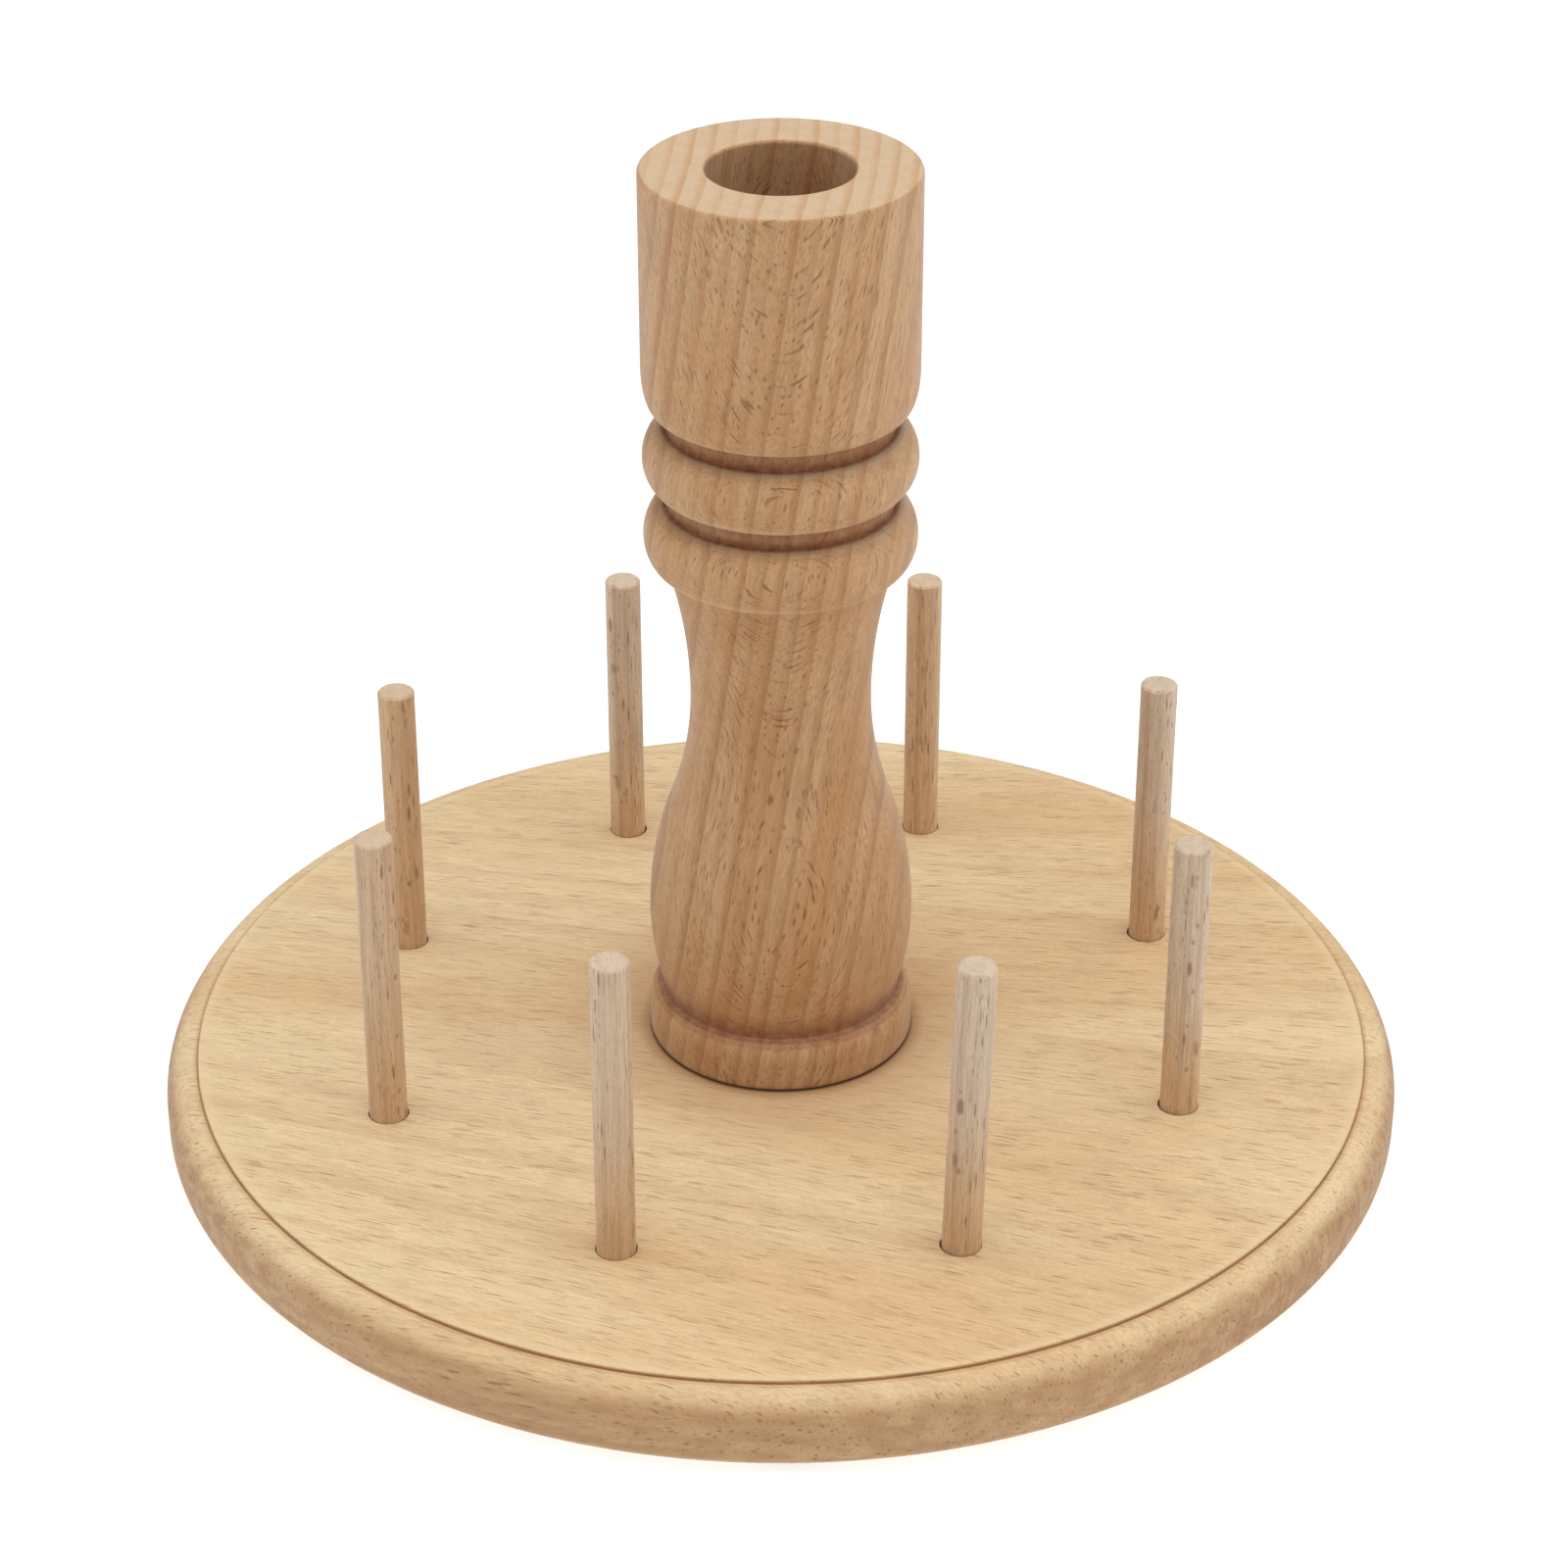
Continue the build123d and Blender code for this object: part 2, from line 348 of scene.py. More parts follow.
class Beech:
    """Growth rings, ray flecks, fibres and patches of one board, in millimetres of its own grain,
    and the colour that they are painted on."""

    def __init__(self, name, ground, centre, along, radial, pith, ring_width, sway, ripple, fan=0.0):
        self.material, self.tree, self.shader = new_material(name)
        self.surface = ground
        self.along = Vector(along).normalized()
        tree = self.tree
        self.place = add_node(tree, "ShaderNodeTexCoord")
        mapping = add_node(
            tree,
            "ShaderNodeMapping",
            {"vector_type": "TEXTURE"},
            Vector=self.place.outputs["Object"],
            Location=centre,
            Rotation=wood_axes(along, radial),
            Scale=(MM, MM, MM),
        )
        straight = self.fanned(mapping.outputs["Vector"], fan)
        slow = noise_vector(tree, stretched(tree, straight, 60, 60, 170), sway)
        quick = noise_vector(tree, stretched(tree, straight, 8, 8, 26), ripple)
        bent = vector_calc(tree, "ADD", straight, slow)
        self.wood = vector_calc(tree, "ADD", bent, quick)
        self.rings = self.ring_count(pith, ring_width)

    def fanned(self, wood, fan):
        """Spreads the grain: its lines draw together by this share in each millimetre along it."""
        tree = self.tree
        split = add_node(tree, "ShaderNodeSeparateXYZ", Vector=wood)
        spread = calc(tree, "MULTIPLY_ADD", split.outputs["Z"], fan, 1.0)
        scale = add_node(tree, "ShaderNodeCombineXYZ", X=1.0, Y=spread, Z=1.0)
        return vector_calc(tree, "MULTIPLY", wood, scale.outputs["Vector"])

    def ring_count(self, pith, ring_width):
        """How many growth rings lie between a point and the heart of the tree."""
        tree = self.tree
        from_pith = vector_calc(tree, "ADD", self.wood, (pith, 0, 0))
        return calc(tree, "DIVIDE", flat_length(tree, from_pith), ring_width)

    def late_wood(self):
        """Dark line at the end of each ring's growth, its strength different in each ring."""
        tree = self.tree
        share = calc(tree, "FRACT", self.rings)
        rise = remap(tree, share, 0.40, 0.92)
        drop = remap(tree, share, 0.92, 1.0, 1.0, 0.0)
        line = calc(tree, "MULTIPLY", rise, drop)
        each = add_node(tree, "ShaderNodeTexWhiteNoise", {"noise_dimensions": "1D"})
        tree.links.new(calc(tree, "FLOOR", self.rings), each.inputs["W"])
        strength = remap(tree, each.outputs["Value"], 0.0, 1.0, 0.35, 1.0)
        return calc(tree, "MULTIPLY", line, strength)

    def noise(self, across, radial, along, detail=2.0, roughness=0.5):
        """Noise stretched to these lengths of the wood."""
        vector = stretched(self.tree, self.wood, across, radial, along)
        return noise_value(self.tree, vector, detail, roughness)

    def flecks(self, across, radial, along, reach, share):
        """Thin ribbons of ray cells: how strongly each point is part of one.
        Reach is their thickness in cells, and share is how many of the cells hold one."""
        tree = self.tree
        cells = add_node(
            tree,
            "ShaderNodeTexVoronoi",
            Vector=stretched(tree, self.wood, across, radial, along),
            Scale=1.0,
        )
        core = remap(tree, cells.outputs["Distance"], reach * 0.45, reach, 1.0, 0.0)
        split = add_node(tree, "ShaderNodeSeparateColor", Color=cells.outputs["Color"])
        kept = remap(tree, split.outputs["Red"], 1 - share, 1.3 - share, 0.25, 1.0, smooth=False)
        chosen = calc(tree, "GREATER_THAN", split.outputs["Red"], 1 - share)
        kept = calc(tree, "MULTIPLY", kept, chosen)
        return calc(tree, "MULTIPLY", core, kept)

    def fibres(self):
        """Fine lines along the grain."""
        return self.noise(0.28, 0.28, 9.0, detail=3.0, roughness=0.6)

    def patches(self, across, along):
        """Broad soft patches of warmer colour."""
        return self.noise(across, across * 0.6, along, roughness=0.45)

    def both(self, first, second, share):
        """Two kinds of fleck together, the second at a share of its strength, held at 1."""
        return calc(self.tree, "MULTIPLY_ADD", second, share, first, clamp=True)

    def from_axis(self):
        """Distance from the stand's upright axis, in metres."""
        return flat_length(self.tree, self.place.outputs["Object"])

    def paint(self, colour, share, strength=None):
        """Lays a colour over the surface by a share, times a strength where one is given."""
        if strength is not None:
            share = calc(self.tree, "MULTIPLY", share, strength)
        self.surface = mix_colour(self.tree, share, self.surface, colour)

    def grainy(self, amount):
        """Makes the colour lighter and darker by up to the amount in specks and small clouds."""
        tree = self.tree
        specks = self.noise(0.26, 0.26, 0.9, detail=1.0)
        clouds = self.noise(2.2, 2.2, 7.0, detail=1.0)
        both = calc(tree, "ADD", specks, calc(tree, "MULTIPLY", clouds, 0.6))
        light = remap(tree, both, 0.5, 1.1, 1 - amount, 1 + amount * 0.8, smooth=False)
        self.surface = vector_calc(tree, "SCALE", self.surface, light)

    def normal_height(self):
        """How far the surface faces up, from -1 to 1."""
        split = add_node(self.tree, "ShaderNodeSeparateXYZ", Vector=self.place.outputs["Normal"])
        return split.outputs["Z"]

    def side_face(self):
        """1 on upright faces, 0 on level ones."""
        return remap(self.tree, calc(self.tree, "ABSOLUTE", self.normal_height()), 0.92, 0.42)

    def underneath(self):
        """1 on faces that look down, 0 elsewhere."""
        return calc(self.tree, "LESS_THAN", self.normal_height(), 0.0)

    def cut_end(self):
        """1 where the surface cuts straight across the grain, 0 where it runs along it."""
        tree = self.tree
        node = add_node(tree, "ShaderNodeVectorMath", {"operation": "DOT_PRODUCT"})
        tree.links.new(self.place.outputs["Normal"], node.inputs[0])
        node.inputs[1].default_value = self.along
        return remap(tree, calc(tree, "ABSOLUTE", node.outputs["Value"]), 0.6, 0.95)

    def finish(self, fibres, marks, roughness, depth, sheen, worn=0.0):
        """Joins the colour, gloss and relief to the shader, with a sheen of loose fibres.
        Roughness is its lowest and highest value, and worn is the least that it may be."""
        tree = self.tree
        tree.links.new(self.surface, self.shader.inputs["Base Color"])
        smoothest, roughest = roughness
        rough = remap(tree, fibres, 0.2, 0.8, smoothest, roughest, smooth=False)
        tree.links.new(calc(tree, "MAXIMUM", rough, worn), self.shader.inputs["Roughness"])
        self.shader.inputs["IOR"].default_value = 1.38
        self.shader.inputs["Sheen Weight"].default_value = sheen
        self.shader.inputs["Sheen Roughness"].default_value = 0.45
        add_bump(tree, self.shader, calc(tree, "SUBTRACT", fibres, marks), 1.0, depth)
        return self.material


def vertex_share(tree, name):
    """A 0 to 1 value that the mesh carries at its corners."""
    return add_node(tree, "ShaderNodeAttribute", {"attribute_name": name}).outputs["Fac"]


def disc_beech(sizes, deck_radius, foot_radius):
    """Flat-sawn beech: long soft patches, dashes of ray cells and fine fibres."""
    turn_down = math.radians(13)
    wood = Beech(
        "disc_beech",
        sizes.pale,
        centre=(0, 0, GRAIN_HEIGHT),
        along=(math.cos(turn_down), -math.sin(turn_down), 0.012),
        radial=(0.0, 0.22, 1.0),
        pith=64.0,
        ring_width=4.6,
        sway=(7.0, 9.0, 0.0),
        ripple=(0.8, 0.9, 0.0),
        fan=-0.0022,
    )
    tree = wood.tree
    side = wood.side_face()
    wood.paint(sizes.tan, remap(tree, wood.patches(26, 110), 0.34, 0.70))
    wood.paint(sizes.ring, wood.late_wood(), between(tree, side, 0.22, 0.6))
    # Darker rim colour on upright faces: partly the rim's side grain, partly painted shade on the rim's
    # side.
    wood.paint(sizes.rim, side, remap(tree, wood.patches(3, 16), 0.34, 0.66, 0.62, 1.0))
    fibres = wood.fibres()
    wood.paint(sizes.ring, remap(tree, fibres, 0.40, 0.75), between(tree, side, 0.5, 0.9))
    dashes = wood.flecks(across=0.5, radial=1.0, along=7.0, reach=0.32, share=0.75)
    fine = wood.flecks(across=0.36, radial=0.8, along=4.2, reach=0.31, share=0.7)
    marks = wood.both(dashes, fine, 0.6)
    wood.paint(sizes.fleck, marks, between(tree, side, 0.52, 0.66))
    rays = wood.noise(across=0.45, radial=5.0, along=5.0, detail=1.5)
    wood.paint(sizes.fleck, remap(tree, rays, 0.42, 0.64, 0.12, 0.5), wood.cut_end())
    wood.grainy(0.095)
    from_axis = calc(tree, "ADD", wood.from_axis(), wood.underneath())
    # A pale band just inside the deck's edge: a painted highlight where the edge catches the light.
    highlight_rise = remap(tree, from_axis, deck_radius - 2.2 * MM, deck_radius - 0.8 * MM, 0.0, 0.45)
    highlight_fall = remap(tree, from_axis, deck_radius - 0.5 * MM, deck_radius, 1.0, 0.0)
    wood.paint(sizes.pale, highlight_rise, highlight_fall)
    # Painted shade carried by the mesh: the line at the deck's edge and the peg holes.
    wood.paint(sizes.groove, vertex_share(tree, "groove"))
    # Painted shade round the column's foot: a wide soft shadow, a brown halo and a dark contact shadow.
    for colour, start, end, strength in (
        (sizes.ring, 0.0, 21.0 * MM, 0.5),
        (sizes.groove, 0.0, 2.8 * MM, 0.55),
        (sizes.seam, -0.2 * MM, 0.5 * MM, 0.7),
    ):
        wood.paint(colour, remap(tree, from_axis, foot_radius + start, foot_radius + end, strength, 0.0))
    return wood.finish(fibres, marks, roughness=(0.5, 0.66), depth=0.03 * MM, sheen=0.04)


def column_beech(sizes):
    """Turned beech whose rings run front to back, with curved flecks at its front and back."""
    wood = Beech(
        "column_beech",
        sizes.pale,
        centre=(0, 0, GRAIN_HEIGHT),
        along=(0.17, 0.19, 1.0),
        radial=(1.0, 0.0, 0.0),
        pith=420.0,
        ring_width=3.0,
        sway=(1.8, 1.2, 0.0),
        ripple=(0.42, 0.12, 0.0),
    )
    tree = wood.tree
    wood.paint(sizes.tan, remap(tree, wood.patches(7, 60), 0.26, 0.76))
    late = wood.late_wood()
    wood.paint(sizes.ring, late, 0.58)
    fibres = wood.fibres()
    wood.paint(sizes.ring, remap(tree, fibres, 0.40, 0.75, 0.0, 0.5))
    ribbons = wood.flecks(across=0.20, radial=8.0, along=4.6, reach=0.34, share=0.5)
    fine = wood.flecks(across=0.30, radial=1.1, along=3.0, reach=0.33, share=0.7)
    marks = wood.both(ribbons, fine, 0.8)
    wood.paint(sizes.fleck, marks, 0.66)
    end_colour = mix_colour(tree, calc(tree, "MULTIPLY", late, 0.8), sizes.cut, sizes.tan)
    wood.paint(end_colour, wood.cut_end())
    wood.grainy(0.10)
    # Painted shade in the grooves, carried by the mesh and made patchy by noise.
    shade_mottle = remap(tree, wood.noise(1.4, 1.4, 1.4), 0.3, 0.7, 0.7, 1.0)
    groove = calc(tree, "MULTIPLY", vertex_share(tree, "groove"), shade_mottle)
    wood.paint(sizes.groove, groove)
    worn = remap(tree, groove, 0.0, 0.5, 0.0, 1.0, smooth=False)
    return wood.finish(fibres, marks, roughness=(0.54, 0.68), depth=0.03 * MM, sheen=0.2, worn=worn)


def peg_beech(sizes, number, centre, along):
    """Raw dowel: bleached towards its top, warmer near the deck, with dark flecks."""
    turned = math.radians(47 * number)
    wood = Beech(
        f"peg_beech_{number}",
        sizes.tan,
        centre=(centre.x + 50 * MM * number, centre.y, GRAIN_HEIGHT),
        along=along,
        radial=(math.cos(turned), math.sin(turned), 0.0),
        pith=24.0 + 3 * number,
        ring_width=2.1,
        sway=(2.0, 2.0, 0.0),
        ripple=(0.4, 0.3, 0.0),
    )
    tree = wood.tree
    split = add_node(tree, "ShaderNodeSeparateXYZ", Vector=wood.place.outputs["Object"])
    wander = calc(tree, "MULTIPLY", calc(tree, "SUBTRACT", wood.patches(3, 22), 0.5), 30 * MM)
    height = calc(tree, "ADD", split.outputs["Z"], wander)
    wood.paint(sizes.pale, remap(tree, height, 14 * MM, 46 * MM, 0.1, PEG_BLEACH[number - 1]))
    wood.paint(sizes.ring, wood.late_wood(), 0.4)
    fibres = wood.fibres()
    wood.paint(sizes.ring, remap(tree, fibres, 0.40, 0.75, 0.0, 0.5))
    long = wood.flecks(across=0.42, radial=2.5, along=5.5, reach=0.34, share=0.55)
    short = wood.flecks(across=0.3, radial=2.0, along=2.5, reach=0.3, share=0.7)
    marks = wood.both(long, short, 0.7)
    wood.paint(sizes.fleck, marks, 0.66)
    wood.paint(sizes.pale, wood.cut_end(), 0.6)
    wood.grainy(0.11)
    return wood.finish(fibres, marks, roughness=(0.58, 0.74), depth=0.04 * MM, sheen=0.2)


# Other finishes -----------------------------------------------------------------------


def in_millimetres(tree):
    """The place on the piece, in millimetres."""
    place = add_node(tree, "ShaderNodeTexCoord")
    mapping = add_node(tree, "ShaderNodeMapping", Vector=place.outputs["Object"], Scale=(1000, 1000, 1000))
    return mapping.outputs["Vector"]


def foam_rubber(sizes):
    """Dark closed-cell foam with fine pores."""
    material, tree, shader = new_material("pad_foam")
    place = in_millimetres(tree)
    cells = add_node(tree, "ShaderNodeTexVoronoi", Vector=place, Scale=3.2)
    pores = remap(tree, cells.outputs["Distance"], 0.1, 0.45)
    cloud = noise_value(tree, place, 3.0)
    worn = vector_calc(tree, "MULTIPLY", sizes.foam[:3], (1.9, 1.9, 1.85))
    surface = mix_colour(tree, remap(tree, cloud, 0.4, 0.7), sizes.foam, worn)
    surface = mix_colour(tree, calc(tree, "MULTIPLY", pores, 0.4), (0.006, 0.006, 0.006, 1.0), surface)
    tree.links.new(surface, shader.inputs["Base Color"])
    tree.links.new(remap(tree, cloud, 0.3, 0.7, 0.8, 0.95), shader.inputs["Roughness"])
    add_bump(tree, shader, pores, 0.8, 0.08 * MM)
    return material


def zinc_plate(sizes):
    """Bright zinc with a fine turned grain and a little staining."""
    material, tree, shader = new_material("zinc_steel")
    place = in_millimetres(tree)
    stain = noise_value(tree, place, 4.0)
    lines = noise_value(tree, vector_calc(tree, "MULTIPLY", place, (3.0, 3.0, 14.0)))
    dull = vector_calc(tree, "MULTIPLY", sizes.zinc[:3], (0.62, 0.6, 0.55))
    surface = mix_colour(tree, remap(tree, stain, 0.45, 0.75), sizes.zinc, dull)
    tree.links.new(surface, shader.inputs["Base Color"])
    shader.inputs["Metallic"].default_value = 1.0
    tree.links.new(remap(tree, stain, 0.3, 0.7, 0.22, 0.42), shader.inputs["Roughness"])
    add_bump(tree, shader, lines, 0.5, 0.02 * MM)
    return material


# Mesh helpers -------------------------------------------------------------------------


class Outline:
    """Radius and height points of a turned shape, each with a share of painted groove shade."""

    def __init__(self):
        self.points = []

    def to(self, *points, groove=0.0):
        """Straight on to each point."""
        for radius, height in points:
            self.points.append((radius, height, groove))
        return self

    def ellipse(self, centre, width, height, start, sweep, steps, groove=0.0):
        """On round part of an ellipse. Angles are in degrees, and its first point is left out."""
        for step in range(1, steps + 1):
            angle = math.radians(start + sweep * step / steps)
            across = centre[0] + width * math.cos(angle)
            upwards = centre[1] + height * math.sin(angle)
            self.points.append((across, upwards, groove))

    def shaded_ellipse(self, centre, width, height, start, parts):
        """On round an ellipse in parts, each with its sweep, its steps and its share of painted groove
        shade.
        """
        for sweep, steps, groove in parts:
            self.ellipse(centre, width, height, start, sweep, steps, groove)
            start += sweep

    def arc(self, upright, other, steps, from_upright, fade=0.0):
        """On along a circular arc between two points, which runs straight up at the first.
        Painted groove shade fades out over its first part."""
        across = other[0] - upright[0]
        along = other[1] - upright[1]
        radius = (across**2 + along**2) / (2 * abs(across))
        side = math.copysign(1, across)
        sweep = math.atan2(along, radius - abs(across))
        for step in range(1, steps + 1):
            share = step / steps if from_upright else 1 - step / steps
            angle = sweep * share
            x = upright[0] + side * radius * (1 - math.cos(angle))
            groove = fade * max(0.0, 1 - 3.2 * step / steps)
            self.points.append((x, upright[1] + radius * math.sin(angle), groove))


def turn(bm, outline, segments):
    """Spins an outline once round Z and closes its seam and poles."""
    layer = bm.verts.layers.float.get("groove") or bm.verts.layers.float.new("groove")
    chain = []
    for radius, height, groove in outline.points:
        vert = bm.verts.new((radius, 0, height))
        vert[layer] = groove
        chain.append(vert)
    edges = [bm.edges.new(pair) for pair in zip(chain, chain[1:])]
    bmesh.ops.spin(
        bm,
        geom=chain + edges,
        cent=(0, 0, 0),
        axis=(0, 0, 1),
        angle=2 * math.pi,
        steps=segments,
        use_merge=True,
    )
    bmesh.ops.remove_doubles(bm, verts=bm.verts, dist=1e-7)


def near(value, target):
    """Whether two lengths are the same to a micron."""
    return abs(value - target) < MICRON


def loop_at(bm, radius, height, centre=(0, 0)):
    """The edges that lie on one circle at one height."""
    found = []
    for edge in bm.edges:
        on_circle = [
            near(vert.co.z, height)
            and near(math.hypot(vert.co.x - centre[0], vert.co.y - centre[1]), radius)
            for vert in edge.verts
        ]
        if all(on_circle):
            found.append(edge)
    return found


def edges_within(edges, verts):
    """The edges whose ends are both among these vertices."""
    return [edge for edge in edges if all(vert in verts for vert in edge.verts)]


def fill(bm, edges, normal):
    """Fills the flat area between closed loops of edges."""
    bmesh.ops.triangle_fill(bm, use_beauty=True, use_dissolve=False, edges=edges, normal=normal)


def extrude_loop(bm, edges):
    """Draws a new loop out of a loop of edges, and gives its edges and its vertices."""
    made = bmesh.ops.extrude_edge_only(bm, edges=edges)["geom"]
    verts = [item for item in made if isinstance(item, bmesh.types.BMVert)]
    drawn = [item for item in made if isinstance(item, bmesh.types.BMEdge)]
    return edges_within(drawn, verts), verts


def finish_mesh(bm, name, material):
    """Makes the object: faces outwards, hard corners marked, everything else smooth."""
    bmesh.ops.recalc_face_normals(bm, faces=bm.faces)
    for face in bm.faces:
        face.smooth = True
    for edge in bm.edges:
        if len(edge.link_faces) == 2 and edge.calc_face_angle() > SHARP_ANGLE:
            edge.smooth = False
    mesh = bpy.data.meshes.new(name)
    bm.to_mesh(mesh)
    bm.free()
    mesh.materials.append(material)
    piece = bpy.data.objects.new(name, mesh)
    bpy.context.scene.collection.objects.link(piece)
    return piece


def stand_for(piece, node, body):
    """The piece takes the place of a CAD node and moves with its body."""
    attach(piece, body)
    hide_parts(node)


def peg_place(ring_radius, number):
    """Middle of one peg's hole."""
    direction = math.radians(FIRST_PEG_ANGLE + (number - 1) * 360 / PEG_COUNT)
    return ring_radius * math.cos(direction), ring_radius * math.sin(direction)


# Pieces -------------------------------------------------------------------------------


class SPOOL_STAND_OT_base_disc(bpy.types.Operator):
    """Make the base disc with its stepped rim, peg holes and countersunk screw hole"""

    bl_idname = "spool_stand.base_disc"
    bl_label = "Base Disc"

    def execute(self, context):
        sizes = context.scene.spool_stand_disc
        low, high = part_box("base_disc")
        screw_low, screw_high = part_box("column_screw")
        head_radius = screw_high.x
        seat_bottom = screw_low.z + context.scene.spool_stand_screw.rim_height
        bm = bmesh.new()
        radius = min(high.x, high.y, -low.x, -low.y)
        turn(bm, self.shell(sizes, low.z, radius, high.z, head_radius, seat_bottom), sizes.segments)
        self.cut_deck(bm, sizes, high.z, radius - sizes.rim_width - sizes.deck_ease)
        column = context.scene.spool_stand_column
        wood = disc_beech(sizes, radius - sizes.rim_width, column.radius + column.foot_overhang)
        piece = finish_mesh(bm, "turned_base_disc", wood)
        stand_for(piece, "base_disc", "stand")
        return {"FINISHED"}

    def shell(self, sizes, bottom, radius, top, head_radius, seat_bottom):
        """From the screw hole's top down, under the disc and round the rim to the deck's edge."""
        deck = radius - sizes.rim_width
        shoulder = top - sizes.deck_step
        rounding = sizes.lower_rounding
        seat_top = seat_bottom + head_radius - sizes.screw_way
        outline = Outline().to((sizes.screw_way, top), (sizes.screw_way, seat_top))
        outline.to((head_radius, seat_bottom), (head_radius, bottom), (radius * 0.5, bottom))
        outline.to((radius - rounding - 0.2 * MM, bottom), (radius - rounding, bottom))
        outline.ellipse((radius - rounding, bottom + rounding), rounding, rounding, -90, 90, 10)
        side_top = shoulder - sizes.rim_width
        outline.to((radius, side_top))
        outline.ellipse((deck, side_top), sizes.rim_width, sizes.rim_width, 0, 82, 18)
        outline.to((deck + 0.7 * MM, shoulder))
        # Painted shade in the step's corner at the deck's edge, and a little on the deck's eased edge.
        outline.to((deck + 0.3 * MM, shoulder - 0.01 * MM), groove=0.3)
        outline.to((deck + 0.1 * MM, shoulder - 0.02 * MM), groove=0.6)
        outline.to((deck, shoulder - 0.04 * MM), (deck, top - sizes.deck_ease), groove=0.72)
        ease_centre = (deck - sizes.deck_ease, top - sizes.deck_ease)
        outline.ellipse(ease_centre, sizes.deck_ease, sizes.deck_ease, 0, 60, 3, groove=0.38)
        outline.ellipse(ease_centre, sizes.deck_ease, sizes.deck_ease, 60, 30, 2)
        return outline

    def cut_deck(self, bm, sizes, top, deck_edge):
        """Fills the deck between its edge and the holes, then sinks each peg hole."""
        rims = loop_at(bm, deck_edge, top) + loop_at(bm, sizes.screw_way, top)
        mouths = []
        for number in range(1, PEG_COUNT + 1):
            x, y = peg_place(sizes.peg_ring, number)
            circle = bmesh.ops.create_circle(
                bm,
                cap_ends=False,
                segments=48,
                radius=sizes.hole_radius + sizes.hole_ease,
                matrix=Matrix.Translation((x, y, top)),
            )
            mouths.append((x, y, circle["verts"]))
            rims += edges_within(bm.edges, circle["verts"])
        fill(bm, rims, UP)
        for x, y, verts in mouths:
            self.sink_hole(bm, sizes, Vector((x, y, top)), verts)

    def sink_hole(self, bm, sizes, centre, verts):
        """Worn edge, wall and floor of one peg hole."""
        layer = bm.verts.layers.float["groove"]
        share = sizes.hole_radius / (sizes.hole_radius + sizes.hole_ease)
        ring = edges_within(bm.edges, verts)
        # Painted shade down each hole, darker with depth.
        for drop, scale, groove in (
            (sizes.hole_ease, share, 0.1),
            (0.8 * MM, 1.0, 0.5),
            (sizes.hole_depth, 1.0, 0.9),
        ):
            ring, lower = extrude_loop(bm, ring)
            for vert in lower:
                offset = (vert.co - centre) * scale
                vert.co = (centre.x + offset.x, centre.y + offset.y, centre.z - drop)
                vert[layer] = groove
        bmesh.ops.edgeloop_fill(bm, edges=ring)


